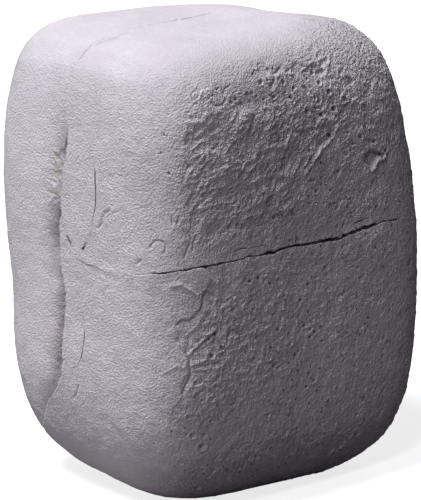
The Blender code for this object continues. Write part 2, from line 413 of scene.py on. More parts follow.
def cross_flake_rim(name, points, near_skin):
    """Shift that shuts the rim of a flake, or opens it where it shows as a groove."""
    x, y, z = points.T
    if name in BESIDE_UPRIGHT:
        near_skin = near_skin * smooth_step((np.abs(y - upright_crack(x, z)) - 0.15) / 0.3)
    flake = FLAKES[name]
    middle, sideways, upward, outward = flake_axes(flake)
    offset = points - middle
    across = offset @ sideways
    along_height = offset @ upward
    below = -(offset @ outward)
    share = 1 + (FLAKE_TAPER - 1) * np.clip(below / flake["thickness"], 0, 1)
    length = flake["half_length"] * share
    tall = flake["half_height"] * share
    ring = np.maximum(np.hypot(across / length, along_height / tall), 1e-6)
    slope_across = across / length**2 / ring
    slope_up = along_height / tall**2 / ring
    slope = np.maximum(np.hypot(slope_across, slope_up), 1e-6)
    past_middle = (ring - 1) / slope - GAP / 2
    outwards = (np.outer(slope_across, sideways) + np.outer(slope_up, upward)) / slope[:, None]
    centre, half_turn, open_mouth = OPEN_RIM[name]
    angle = np.degrees(np.arctan2(along_height / tall, across / length))
    turn = np.abs((angle - centre + 180) % 360 - 180)
    mouth = SHUT + (open_mouth - SHUT) * fall(turn, half_turn, RIM_FADE)
    strength = carry(np.abs(past_middle) - GAP / 2) * near_skin * (below < flake["thickness"] + GAP)
    amount = np.sign(past_middle) * (mouth - GAP / 2) * strength
    wander = RAGGED_RIM * bell(past_middle / RAGGED_REACH) * near_skin
    ragged = np.outer(wander * noise(points, RAGGED_SIZE, 70), sideways)
    ragged += np.outer(wander * noise(points, RAGGED_SIZE, 71), upward)
    return outwards * amount[:, None] + ragged


def cross_cracks(node, points, depth):
    """Sum of the shifts across every crack that this piece borders."""
    near_skin = np.exp(-np.maximum(depth, 0) / LIP_DEPTH)
    host = FLAKE_HOST.get(node, node)
    shift = np.zeros_like(points)
    if host in LEVEL_SIDE:
        shift += cross_level_crack(LEVEL_SIDE[host], points, near_skin)
    shift += cross_upright_crack(UPRIGHT_SIDE[host], points, near_skin)
    rims = [node] if node in FLAKES else [name for name, owner in FLAKE_HOST.items() if owner == node]
    for name in rims:
        shift += cross_flake_rim(name, points, near_skin)
    return shift


# ------ surface marks, drawn on the unrolled skin

# Each place is (place on the unrolled skin, height above the base).
UPPER_SCAR = (
    (3.3, 55.1), (4.1, 57.5), (7.5, 58.4), (10.9, 59.3), (14.8, 59.8), (18.7, 59.1), (23.2, 58.8),
    (27.7, 57.7), (31.5, 53.2), (29.7, 50.6), (27.0, 47.7), (24.4, 45.6), (22.6, 43.9), (22.6, 40.3),
    (15.6, 39.7), (8.5, 39.3), (4.2, 38.4), (2.4, 37.8), (3.2, 41.0), (2.9, 44.3), (2.3, 48.2),
    (2.5, 52.0),
)
LOWER_SCAR = (
    (6.4, 32.3), (5.6, 30.4), (3.2, 28.9), (1.4, 27.9), (1.1, 25.3), (2.5, 23.5), (2.9, 21.2),
    (1.4, 18.9), (0.5, 17.1), (0.2, 14.3), (6.0, 12.0), (14.0, 14.0), (20.0, 18.0), (24.0, 22.0),
    (25.0, 27.0), (22.0, 31.0), (14.0, 32.5),
)
LOWER_SCAR_EDGE = LOWER_SCAR[:10]


def stroke_distance(u, z, points):
    """Distance from (u, z) to a line through points."""
    nearest = np.full(len(u), 1e9)
    for (u0, z0), (u1, z1) in zip(points, points[1:]):
        du, dz = u1 - u0, z1 - z0
        t = np.clip(((u - u0) * du + (z - z0) * dz) / (du * du + dz * dz), 0, 1)
        nearest = np.minimum(nearest, np.hypot(u - u0 - t * du, z - z0 - t * dz))
    return nearest


def inside_shape(u, z, points):
    """Signed distance into a closed shape: positive inside it."""
    closed = points + points[:1]
    odd = np.zeros(len(u), bool)
    for (u0, z0), (u1, z1) in zip(closed, closed[1:]):
        crosses = (z0 > z) != (z1 > z)
        reach = u0 + (z - z0) * (u1 - u0) / (z1 - z0 if z1 != z0 else 1e-9)
        odd ^= crosses & (u < reach)
    distance = stroke_distance(u, z, closed)
    return np.where(odd, distance, -distance)


# Strokes on the skin: places, width, and height over the skin; a stroke with a negative height is a groove.
LEFT_FACE_STROKES = (
    # hook and short nicks between the upright crack and the near edge
    (
        ((-3.9, 38.1), (-3.3, 38.7), (-2.5, 39.0), (-1.5, 38.9), (-1.0, 38.3), (-1.2, 37.6), (-1.7, 37.3)),
        0.17, -0.14,
    ),
    (((-6.5, 35.8), (-5.6, 36.3)), 0.15, -0.12),
    (((-12.5, 31.6), (-11.8, 31.8)), 0.15, -0.09),
    (((-14.6, 28.3), (-11.6, 26.1), (-10.5, 25.4)), 0.15, -0.03),
    # ragged tear beside the upper skin plate, and the fold that branches off it
    (((-11.4, 42.1), (-12.6, 41.3), (-13.2, 40.6), (-13.3, 40.0), (-13.8, 39.4)), 0.2, -0.2),
    (((-12.9, 40.9), (-12.2, 41.6), (-10.4, 42.6), (-7.9, 43.4)), 0.22, 0.03),
    (((-12.4, 40.8), (-11.2, 41.7), (-9.4, 42.4)), 0.16, -0.05),
    # tick and dots below the lower skin plate
    (((-18.3, 16.9), (-18.8, 15.9), (-19.4, 14.9)), 0.18, -0.13),
    (((-17.1, 14.8), (-17.7, 14.2)), 0.14, -0.08),
    # puckered band that carries the level crack's line across the left face
    (((-18.5, 35.0), (-15.5, 34.6), (-12.5, 33.9), (-7.7, 34.1), (-4.0, 34.0)), 0.5, 0.04),
    (((-14.6, 36.9), (-13.9, 36.2), (-13.2, 35.4), (-10.9, 34.8)), 0.16, -0.05),
    (((-18.3, 34.2), (-14.5, 33.5), (-10.0, 33.0)), 0.3, -0.04),
    # faint line round the foot
    (((-6.0, 4.6), (0.0, 3.9), (6.0, 3.9)), 0.2, -0.04),
    # nicks and a branching tear on the near edge, above the level crack
    (((0.1, 42.2), (0.4, 41.2)), 0.14, -0.14),
    (((1.3, 42.1), (1.0, 41.1)), 0.14, -0.14),
    (((0.3, 41.6), (1.3, 41.5)), 0.14, -0.12),
    (((2.9, 40.2), (3.4, 39.2), (3.0, 38.0), (2.4, 36.9)), 0.18, -0.18),
    (((2.2, 40.4), (2.8, 39.4)), 0.15, -0.14),
    (((4.4, 39.6), (3.8, 38.7), (3.9, 37.8)), 0.15, -0.14),
)
UPPER_FRONT_STROKES = (
    # bright ridge that bounds the rough area on the lower right
    (
        ((29.2, 50.4), (28.5, 49.4), (27.2, 48.2), (26.1, 47.8), (25.4, 47.0), (24.7, 46.3), (23.4, 45.0)),
        0.26, 0.2,
    ),
    (((28.3, 50.0), (27.0, 48.8), (25.8, 48.1), (24.9, 47.2), (24.2, 46.4)), 0.28, -0.14),
    (((30.8, 52.0), (30.4, 51.3), (30.0, 50.6)), 0.2, 0.1),
    # soft hollow and the crease under it
    (((21.8, 51.0), (23.0, 50.6), (26.1, 50.8), (27.9, 50.5)), 0.35, -0.12),
    # crescents along the top of the rough area
    (((16.6, 59.1), (17.2, 58.7), (17.8, 58.5), (18.3, 58.6), (18.8, 59.0)), 0.2, -0.24),
    (((16.8, 58.5), (17.7, 58.0), (18.6, 58.2)), 0.2, 0.1),
    (((19.8, 58.5), (20.4, 58.7)), 0.2, -0.2),
    (((14.1, 59.2), (14.5, 59.7), (14.9, 60.0)), 0.16, -0.12),
    # crescent, rings and slanted oval at the near top corner
    (((7.0, 56.4), (7.6, 56.0), (8.4, 55.8), (9.1, 56.0), (9.6, 56.5)), 0.2, -0.18),
    (((9.2, 57.4), (9.5, 57.9), (10.2, 58.2)), 0.15, -0.12),
    (((3.4, 57.3), (3.7, 57.8), (4.4, 58.1), (4.9, 57.9), (4.6, 57.3), (3.9, 56.9), (3.4, 57.3)), 0.13, -0.1),
    (((5.2, 57.8), (4.9, 57.2), (4.2, 56.6)), 0.14, 0.1),
    # scratches towards the top right corner
    (((22.6, 58.2), (23.7, 58.7), (24.7, 59.1)), 0.16, 0.1),
    (((27.7, 59.1), (27.4, 58.2), (27.0, 57.3)), 0.2, 0.12),
    (((17.9, 58.0), (17.6, 57.5), (17.2, 57.0)), 0.2, -0.3),
    (((17.6, 56.5), (18.2, 57.0), (18.7, 57.5)), 0.15, 0.08),
    (((23.3, 56.3), (23.8, 55.6)), 0.22, -0.28),
    (((25.5, 57.7), (26.4, 57.5)), 0.24, -0.28),
    # hooks and crescents right of the ridge
    (((31.0, 41.0), (31.1, 40.4), (31.6, 40.2), (32.0, 40.6)), 0.15, -0.16),
    (((27.9, 39.9), (28.1, 40.4), (28.8, 40.4), (29.5, 40.2), (29.5, 39.8), (29.0, 39.5)), 0.14, -0.14),
    (((22.2, 42.0), (22.9, 41.8), (23.5, 42.1), (24.3, 42.4)), 0.16, 0.08),
    (((28.8, 45.4), (28.4, 44.6), (27.8, 44.0)), 0.16, 0.07),
    (((36.6, 42.8), (36.4, 42.2), (36.6, 41.6), (36.9, 42.1), (36.8, 42.8)), 0.12, -0.14),
)
# Ear-shaped hollow, and its raised lower lip.
EAR = (
    (34.5, 45.2), (34.7, 46.0), (35.4, 46.3), (36.5, 46.2), (37.5, 45.9), (37.9, 45.4), (37.2, 45.3),
    (36.6, 44.9), (36.2, 44.2), (35.6, 43.9),
)
EAR_LIP = ((38.0, 45.1), (37.3, 44.9), (36.7, 44.6), (36.4, 44.0), (36.0, 43.6))
LOWER_FRONT_STROKES = (
    # torn line where the smooth near edge ends, and the lumps behind it
    (
        ((0.9, 27.9), (2, 28.3), (3.2, 28.5), (4.5, 29.4), (5.4, 30), (5.7, 31.2), (6.7, 31.8), (7.8, 31.2)),
        0.2, -0.19,
    ),
    (((8.3, 33.2), (8.2, 31.8), (7.8, 30.4)), 0.24, 0.1),
    (((-1.7, 21.5), (0.0, 22.1), (1.1, 22.5), (2.1, 22.2)), 0.2, 0.08),
    (((2.3, 24.2), (3.0, 23.2), (3.3, 22.3), (3.4, 20.9), (2.8, 19.8), (1.9, 18.8)), 0.24, -0.19),
    (((2.9, 23.9), (3.7, 24.5), (5.0, 25.4), (6.2, 26.3), (7.5, 26.9)), 0.3, 0.12),
    (((3.6, 22.4), (4.8, 22.8), (6.1, 23.0), (6.3, 23.9)), 0.3, 0.1),
    (((7.3, 22.9), (8.2, 23.6), (9.1, 24.5)), 0.25, 0.08),
    (((3.2, 27.2), (4.5, 27.8), (4.9, 28.4)), 0.25, 0.06),
    (((6.3, 27.8), (8.0, 28.9), (9.0, 29.4)), 0.25, 0.05),
    (((4.1, 24.3), (5.3, 25.0), (6.4, 25.6), (7.3, 26.0)), 0.25, -0.11),
    (((5.2, 22.0), (6.6, 22.1), (8.4, 22.4)), 0.25, -0.11),
    # round print and the angular crease beside it
    (((9.8, 24.8), (9.9, 25.8), (10.6, 26.3), (11.4, 26.2), (12.1, 25.5), (12.2, 24.7)), 0.2, -0.11),
    (((14.7, 24.9), (16.1, 25.2), (16.8, 25.9)), 0.2, 0.05),
    (((14.9, 24.1), (14.9, 23.1), (14.6, 22.3), (12.8, 21.9)), 0.2, 0.05),
    (((21.2, 24.4), (22.0, 24.2), (22.7, 23.4)), 0.35, 0.08),
    (((18.5, 22.4), (19.3, 22.6), (20.1, 22.1)), 0.3, 0.08),
    # lower lip of the loose flap at the level crack's near end
    (((-0.1, 33.2), (1.8, 33.1), (3.2, 32.5), (4.7, 31.8)), 0.22, 0.15),
    # arcs low on the near edge
    (((3.6, 17.9), (5.0, 18.6), (5.9, 18.8), (6.3, 18.2)), 0.17, -0.1),
    (((8.0, 19.3), (8.9, 18.7)), 0.17, -0.11),
    # scratches under the level crack
    (((31.0, 32.1), (33.2, 32.0), (34.3, 32.4)), 0.15, -0.08),
    (((19.0, 31.5), (21.2, 31.9), (22.6, 31.8)), 0.15, -0.06),
    (((13.6, 30.1), (14.2, 30.9), (14.9, 31.3)), 0.16, 0.05),
)
# Middle, radius and depth of single pits.
PITS = (
    (10.7, 56.1, 0.26, 0.3), (11.4, 56.5, 0.22, 0.26), (15.5, 57.8, 0.22, 0.26), (16.5, 57.9, 0.17, 0.2),
    (19.5, 57.4, 0.24, 0.3), (21.3, 56.4, 0.25, 0.3), (20.8, 55.3, 0.25, 0.3), (17.8, 55.8, 0.22, 0.28),
    (16.2, 55.9, 0.18, 0.24), (19.9, 56.1, 0.16, 0.2), (23.9, 53.2, 0.34, 0.34), (24.7, 57.8, 0.24, 0.3),
    (23.8, 57.1, 0.17, 0.2), (25.8, 56.3, 0.28, 0.3), (27.6, 55.1, 0.3, 0.34), (25.1, 54.7, 0.22, 0.26),
    (26.0, 54.3, 0.32, 0.2), (25.5, 53.4, 0.2, 0.24), (26.4, 52.4, 0.28, 0.3), (28.6, 52.8, 0.28, 0.3),
    (14.1, 56.8, 0.2, 0.2), (14.9, 56.4, 0.18, 0.18), (29.6, 54.6, 0.26, 0.26), (30.8, 53.6, 0.24, 0.24),
    (28.1, 49.5, 0.25, 0.3), (33.6, 48.4, 0.26, 0.26), (36.1, 47.3, 0.24, 0.26), (31.4, 49.3, 0.18, 0.2),
    (32.2, 47.7, 0.18, 0.2), (26.3, 46.2, 0.2, 0.2), (24.5, 44.1, 0.22, 0.2), (25.5, 42.6, 0.2, 0.22),
    (28.0, 42.3, 0.2, 0.22), (32.2, 38.5, 0.2, 0.2), (37.6, 45.2, 0.26, 0.26), (38.4, 45.8, 0.24, 0.26),
    (6.6, 25.6, 0.26, 0.24), (7.7, 26.3, 0.28, 0.26), (8.9, 24.3, 0.26, 0.24), (7.1, 23.4, 0.3, 0.28),
    (13.8, 32.5, 0.22, 0.28), (15.2, 32.7, 0.24, 0.3), (17.5, 31.5, 0.22, 0.24), (19.7, 29.4, 0.17, 0.2),
    (20.2, 28.6, 0.18, 0.22), (22.8, 28.3, 0.18, 0.22), (24.4, 26.4, 0.18, 0.2), (22.1, 21.0, 0.26, 0.24),
    (18.8, 25.1, 0.2, 0.22), (23.7, 24.8, 0.24, 0.24), (24.6, 24.1, 0.2, 0.22), (24.5, 22.9, 0.22, 0.22),
    (25.4, 23.4, 0.2, 0.22), (26.7, 22.0, 0.2, 0.2), (22.5, 18.6, 0.2, 0.2), (24.3, 18.0, 0.2, 0.2),
    (25.3, 16.8, 0.22, 0.22), (24.0, 16.0, 0.22, 0.2), (17.6, 22.9, 0.22, 0.22), (18.3, 20.0, 0.18, 0.2),
    (5.3, 17.4, 0.2, 0.16), (-0.4, 47.6, 0.24, 0.16), (-1.4, 52.6, 0.2, 0.14), (-1.8, 50.2, 0.2, 0.14),
)
# Middle, radius, depth, and the direction in degrees where the rim is open.
RINGS = (
    (31.1, 46.6, 0.42, 0.16, 150),
    (8.1, 57.8, 0.4, 0.12, 300),
    (20.9, 58.4, 0.28, 0.16, 60),
    (17.5, 10.9, 0.62, 0.1, 100),
    (20.2, 10.3, 0.55, 0.12, 100),
    (29.9, 40.6, 0.5, 0.06, 120),
)


# Scratches and short nicks on the top, each place at (x, y).
TOP_STROKES = (
    (((-20.6, -1.1), (-19.8, -1.6), (-18.6, -2.0)), 0.25, -0.12),
    (((-18.4, -2.4), (-17.9, -2.3), (-16.5, -2.4)), 0.3, -0.1),
    (((-19.6, -2.3), (-18.6, -2.7)), 0.25, -0.08),
    (((-17.6, -1.5), (-16.6, -1.4), (-14.7, -1.7)), 0.25, 0.06),
    (((-7.6, -5.1), (-7.3, -5.3)), 0.22, -0.14),
    (((-7.9, -7.5), (-7.5, -7.6)), 0.22, -0.14),
    (((-12.4, -10.2), (-12.2, -10.5)), 0.22, -0.14),
    (((3.3, -7.2), (3.6, -7.4)), 0.22, -0.12),
    (((8.0, -9.8), (8.8, -10.4), (9.6, -10.8)), 0.2, -0.1),
)
# Shallow fill behind the right shoulder of the top.
SHOULDER_SPREAD = 4.5
SHOULDER_TALL = 0.4


def top_marks(points):
    x, y, _ = points.T
    height = np.zeros(len(x))
    for places, width, depth in TOP_STROKES:
        height += depth * bell(stroke_distance(x, y, places) / width)
    return height


def ring_mark(u, z, centre_u, centre_z, radius, depth, opening):
    """Round dent with a raised rim that fades in one direction."""
    distance = np.hypot(u - centre_u, z - centre_z)
    dent = -depth * np.exp(-((distance / (0.75 * radius)) ** 4))
    rim = 0.55 * depth * bell((distance - 1.15 * radius) / (0.3 * radius))
    turn = np.abs((np.degrees(np.arctan2(z - centre_z, u - centre_u)) - opening + 180) % 360 - 180)
    return (dent + rim) * (0.3 + 0.7 * smooth_step(turn / 110))


def within(u, z, places, reach):
    """Numbers of the points near these places."""
    at_u, at_z = zip(*places)
    near_u = (u > min(at_u) - reach) & (u < max(at_u) + reach)
    near_z = (z > min(at_z) - reach) & (z < max(at_z) + reach)
    return np.flatnonzero(near_u & near_z)


# How dark the shade painted into a groove is, and the depth from which it is so.
GROOVE_SHADE = 0.35
DEEP_GROOVE = 0.14
EAR_DEPTH = 0.45
EAR_LIP_TALL = 0.24


def single_marks(u, z, ragged_u, ragged_z):
    """Height of all the strokes, rings and single pits, and the shade painted into the pits, the deeper
    grooves and the ear-shaped hollow.
    """
    height = np.zeros(len(u))
    hole_shade = np.zeros(len(u))
    for places, width, tall in LEFT_FACE_STROKES + UPPER_FRONT_STROKES + LOWER_FRONT_STROKES:
        near = within(u, z, places, 3 * width + 1)
        distance = stroke_distance(ragged_u[near], ragged_z[near], places)
        height[near] += tall * bell(distance / width)
        shade = GROOVE_SHADE * smooth_step(-tall / DEEP_GROOVE) * bell(distance / (0.7 * width))
        hole_shade[near] = np.maximum(hole_shade[near], shade)
    for mark in RINGS:
        near = within(u, z, [mark[:2]], 3 * mark[2])
        height[near] += ring_mark(u[near], z[near], *mark)
    for pit_u, pit_z, radius, depth in PITS:
        near = within(u, z, [(pit_u, pit_z)], 5 * radius)
        right, up = ragged_u[near] - pit_u, ragged_z[near] - pit_z
        distance = np.hypot(right + 0.3 * up, up) / radius
        lip = bell((distance - 1.7) / 0.5) * smooth_step(0.5 + right - up)
        height[near] += 1.3 * depth * (0.22 * lip - np.exp(-(distance**3)))
        # painted shade in the pit
        hole_shade[near] = np.maximum(hole_shade[near], smooth_step(1.6 - 1.3 * distance))
    near = within(u, z, EAR, 1.5)
    ear = inside_shape(ragged_u[near], ragged_z[near], EAR)
    height[near] -= EAR_DEPTH * smooth_step(ear / 0.3 + 0.4)
    hole_shade[near] = np.maximum(hole_shade[near], 0.12 * smooth_step(ear / 0.3))
    height[near] += EAR_LIP_TALL * bell(stroke_distance(ragged_u[near], ragged_z[near], EAR_LIP) / 0.22)
    return height, hole_shade


def scattered_pits(skin, size, seed, share, radius, depth):
    """Small round pits: share of the cells hold one, each with its own size."""
    distance, chance = cells(skin, size, seed)
    distance = distance * size
    wide = radius * (1 + 0.5 * chance[:, 0])
    there = smooth_step((share - 0.5 - 0.5 * chance[:, 1]) * 20)
    pit = -np.exp(-((distance / wide) ** 3))
    rim = 0.25 * bell((distance - 1.5 * wide) / (0.5 * wide))
    return depth * there * (1 + 0.5 * chance[:, 2]) * (pit + rim)


# Slope of the streaks in the broken skin, from lower left to upper right.
STREAK_SLOPE = math.radians(35)
# Height up to which the front is rough, at places along the unrolled front.
ROUGH_LIMIT = ((0, 54.5), (8, 57.5), (14, 59.3), (20, 60.5), (26, 63.0), (32, 66.0))


def where_felt(weight, points, shape):
    """Weighted shape, worked out only where the weight counts."""
    felt = np.flatnonzero(weight > 0.004)
    height = np.zeros(len(weight))
    height[felt] = weight[felt] * shape(points[felt])
    return height


def crumpled(points):
    """Lumps and diagonal streaks of broken chalk."""
    x, y, z = points.T
    across = (z * math.cos(STREAK_SLOPE) - x * math.sin(STREAK_SLOPE)) * 1.25
    along_streak = (x * math.cos(STREAK_SLOPE) + z * math.sin(STREAK_SLOPE)) * 0.75
    flow = np.column_stack((along_streak, y, across))
    crumple = 1 - 2.4 * np.abs(noise(flow, 1.3, 6))
    patchy = smooth_step(0.8 + 1.6 * noise(points, 4, 16))
    flakes = 0.09 * crumple + 0.075 * noise(flow, 0.55, 7)
    return flakes * (0.65 + 0.55 * patchy) + 0.13 * noise(points, 2.2, 8)


def dimpled(points):
    """Small rounded lumps with dimples between them."""
    lumps = 0.11 * noise(points, 0.6, 17) + 0.09 * noise(points, 1.4, 18)
    return lumps + scattered_pits(points, 1.0, 53, 0.6, 0.2, 0.16)


def coarse_pits(points):
    return scattered_pits(points, 1.6, 51, 0.6, 0.32, 0.34)


def small_pits(points):
    wide = scattered_pits(points, 2.3, 52, 0.3, 0.38, 0.26)
    return np.minimum(scattered_pits(points, 1.3, 50, 0.5, 0.24, 0.22), wide)


def corner_grain(points):
    streaks = points * np.array([1.3, 1.3, 0.8])
    return 0.05 * noise(streaks, 0.6, 10) + 0.06 * noise(points, 0.36, 11)


def foot_lumps(points):
    return 0.07 * noise(points, 1.4, 12) + 0.05 * noise(points, 0.7, 13) + 0.5 * coarse_pits(points)


# Where each kind of roughness starts or ends, and over what width it fades in or out: TOP and BOTTOM are
# heights, LEFT and RIGHT are places on the unrolled skin.
FRONT_LEFT = (-1, 4)
BAND_BOTTOM, BAND_TOP, BAND_LEFT, BAND_RIGHT = (53, 3), (60.5, 1.5), (5, 4), (34, 6)
ROUGH_BOTTOM = (36, 3)
BUMPY_TOP, BUMPY_LEFT = (38, 3), (4, 8)
FOOT_BOTTOM, FOOT_TOP, FOOT_MIDDLE, FOOT_REACH = (8.5, 1.5), (15.0, 1.5), 3, (7, 3)
LOW_TOP, LOW_LEFT = (12, 5), (-2, 4)
GRAINY_BOTTOM, GRAINY_LEFT = (47, 6), (20, 8)
PITTED_LEFT, FINISH_PITS_LEFT = (5, 6), (12, 8)
# How far the broken areas lie below the skin around them.
UPPER_SCAR_DEPTH = 0.12
LOWER_SCAR_DEPTH = 0.1
# Share of the wandering of the broken areas' edges that single marks follow.
MARK_WANDER = 0.25


def drawn_relief(skin, drawn):
    """Marks of the front and left face: height, roughness, pits in the finish, and the shade painted into
    single pits and grooves.
    """
    u = round_the_front(skin)
    z = skin[:, 2]
    ru = u + 0.9 * noise(skin, 2.4, 40) + 0.4 * noise(skin, 0.9, 41)
    rz = z + 0.9 * noise(skin, 2.4, 42) + 0.4 * noise(skin, 0.9, 43)
    front = rise(u, *FRONT_LEFT) * drawn * fall(z, along(ROUGH_LIMIT, u), 1.5)
    upper = inside_shape(ru, rz, UPPER_SCAR)
    lower = inside_shape(ru, rz, LOWER_SCAR)
    band = rise(z, *BAND_BOTTOM) * fall(z, *BAND_TOP) * rise(u, *BAND_LEFT)
    band *= fall(u, *BAND_RIGHT) * drawn
    torn = smooth_step(upper / 0.8 + 0.5) * (1 - 0.85 * band) * drawn
    rough = np.maximum(torn, 0.6 * front * rise(z, *ROUGH_BOTTOM) * (1 - 0.6 * band))
    bumpy = np.maximum(0.9 * smooth_step(lower / 3 + 0.2) * drawn, 0.5 * front * rise(u, *BUMPY_LEFT))
    bumpy *= fall(z, *BUMPY_TOP)
    broken = np.maximum(torn, 0.7 * bumpy)

    height = where_felt(rough**1.5, skin, crumpled) + where_felt(bumpy, skin, dimpled)
    height -= UPPER_SCAR_DEPTH * smooth_step(upper / 0.5 + 0.5) * drawn * (0.6 + 1.2 * noise(skin, 3, 9))
    lower_edge = stroke_distance(ru, rz, LOWER_SCAR_EDGE)
    height -= LOWER_SCAR_DEPTH * smooth_step(lower / 0.4 + 0.5) * bell(lower_edge / 3.5) * drawn
    steady = 1 - MARK_WANDER
    marked, hole_shade = single_marks(u, z, steady * u + MARK_WANDER * ru, steady * z + MARK_WANDER * rz)
    height += marked * drawn

    height += where_felt(front * rise(u, *PITTED_LEFT) * (1 - 0.5 * broken), skin, small_pits)
    height += where_felt(band, skin, coarse_pits)
    foot = fall(z, *FOOT_TOP) * rise(z, *FOOT_BOTTOM) * fall(np.abs(u - FOOT_MIDDLE), *FOOT_REACH) * drawn
    height += where_felt(0.6 * foot, skin, coarse_pits)
    low = fall(z, *LOW_TOP) * rise(u, *LOW_LEFT) * drawn
    height += where_felt(low, skin, foot_lumps)
    grainy = rise(z, *GRAINY_BOTTOM) * rise(u, *GRAINY_LEFT) * drawn
    height += where_felt(grainy, skin, corner_grain)
    finish_pits = 0.85 * front * rise(u, *FINISH_PITS_LEFT)
    pitted = np.maximum.reduce((finish_pits, band, 0.7 * foot, 0.4 * broken, 0.8 * low))
    rough = np.maximum.reduce((rough, 0.6 * bumpy, 0.6 * low, 0.5 * grainy))
    return height, rough, pitted, hole_shade * drawn


def relief(skin):
    """Height of the real surface over the smooth form, and the marks that its finish follows, painted light
    and painted shade among them.
    """
    u = round_the_front(skin)
    x, y, z = skin.T
    # 1 on the two faces that the named marks lie on, 0 on the others
    drawn = smooth_step((0.7 - x / HALF_WIDTH - y / HALF_DEPTH) * 3)
    # the other faces are worn here and there
    rough = 0.7 * (1 - drawn) * smooth_step(2 * noise(skin, 8, 14)) * fall(z, 62, 2)
    pitted = 0.7 * (1 - drawn)
    hole_shade = np.zeros(len(skin))
    height = where_felt(rough, skin, crumpled)
    height += where_felt(0.6 * (1 - drawn), skin, small_pits)
    faces = np.flatnonzero(drawn > 0.001)
    drawn_height, drawn_rough, drawn_pitted, hole_shade[faces] = drawn_relief(skin[faces], drawn[faces])
    height[faces] += drawn_height
    topmost = rise(z, 58, 2)
    marked = where_felt(topmost, skin, top_marks)
    # painted shade in the top's grooves and nicks
    hole_shade = np.maximum(hole_shade, 0.45 * smooth_step(-marked / 0.12))
    height += marked + SHOULDER_TALL * topmost * np.exp(-(((x - 7) ** 2 + y**2) / SHOULDER_SPREAD**2))
    rough[faces] = np.maximum(rough[faces], drawn_rough)
    pitted[faces] = np.maximum(pitted[faces], drawn_pitted)

    on_top = smooth_step((z - 57.5 - 0.12 * np.maximum(u, 0)) / 3) * fall(u, 24, 8)
    grain = 0.036 * noise(skin, 0.42, 4) + 0.014 * noise(skin, 0.8, 3)
    height += grain * (0.8 + 0.5 * noise(skin, 5, 5)) * (1 + rough) * (1 - 0.6 * on_top)
    height += 0.14 * noise(skin, 9, 1) + 0.07 * noise(skin, 4, 2) + 0.06 * noise(skin, 1.7, 19) * (1 - on_top)
    fine = (1.35 + 1.4 * rough) * (1 - 0.4 * on_top)
    # painted light on the top and low on the left face; painted shade in a band down the near edge
    low_left = fall(z, 13, 9) * fall(u, -2, 8) * drawn
    painted_light = np.maximum(0.3 * on_top, 0.8 * low_left)
    painted_shade = 0.38 * bell((u - 4) / 7) * fall(z, 56, 8) * drawn
    marks = {"broken": rough, "pitted": pitted, "hole_shade": hole_shade, "grain": fine, "painted_light": painted_light, "painted_shade": painted_shade}
    return height, marks


def skin_normal(direction, radius):
    """Outward normal of the smooth skin."""
    step = 1e-4
    helper = np.where(np.abs(direction[:, 2:]) > 0.8, [[1.0, 0, 0]], [[0, 0, 1.0]])
    first = np.cross(direction, helper)
    first /= np.linalg.norm(first, axis=1)[:, None]
    second = np.cross(direction, first)
    normal = direction.copy()
    for tangent in (first, second):
        nudged = direction + step * tangent
        nudged /= np.linalg.norm(nudged, axis=1)[:, None]
        slope = (skin_radius(nudged) - radius) / step
        normal -= tangent * (slope / radius)[:, None]
    return normal / np.linalg.norm(normal, axis=1)[:, None]


# Depth over which marks die away, depth over which the CAD's facets are smoothed out, and where marks end.
MARK_DEPTH = 0.8
FACET_DEPTH = 0.6
DEEPEST_MARK = 3.0
# What the finish is deep inside the cracks.
INSIDE = {"broken": 1.0, "grain": 2.0}
# By height: how deep the slab's edge dips towards the upright crack, how dark the shade painted into its
# valley is, and where rubble lies, whose reddish tint also stands in as painted shade of the open crack.
SLAB_DIP = (
    (8, 0.0), (12, 0.3), (18, 0.8), (27, 0.8), (29, 0.4), (31, 0.6), (32.8, 0.35), (33.6, 0.35),
    (35, 1.0), (40, 1.0), (42, 0.4), (47, 0.35), (50, 0.1), (56, 0.05), (60, 0.05),
)
SLAB_SHADE = (
    (12, 0.0), (17, 0.4), (20, 0.7), (27, 0.6), (28.5, 1.0), (31.5, 1.0), (33, 0.3), (34.5, 1.0),
    (40, 1.0), (41.5, 0.5), (43, 0.15), (47, 0.3), (49, 0.6), (52, 0.3), (56, 0.0),
)
RUBBLE_AND_CRACK_SHADE = (
    (17, 0.0), (19, 1.0), (27, 1.0), (29, 0.2), (30.5, 0.1), (45, 0.0), (46.5, 0.7), (48.5, 0.7),
    (50, 0.0),
)
CRACK_LIP_TALL = 0.1
LEVEL_RIDGE_TALL = 0.05
# Depth at which the shade painted into a hollow is as dark as it gets.
CAVITY_SHADE_DEPTH = 0.25
# The marks fade out below this height, which leaves the base flat.
BASE_ROOM = 0.4


def crumb_lumps(points):
    return 0.2 * noise(points, 1.1, 60) + 0.12 * noise(points, 0.6, 61)


def rubble_lumps(points):
    return 0.16 * noise(points, 0.7, 63) + 0.1 * noise(points, 0.4, 64)


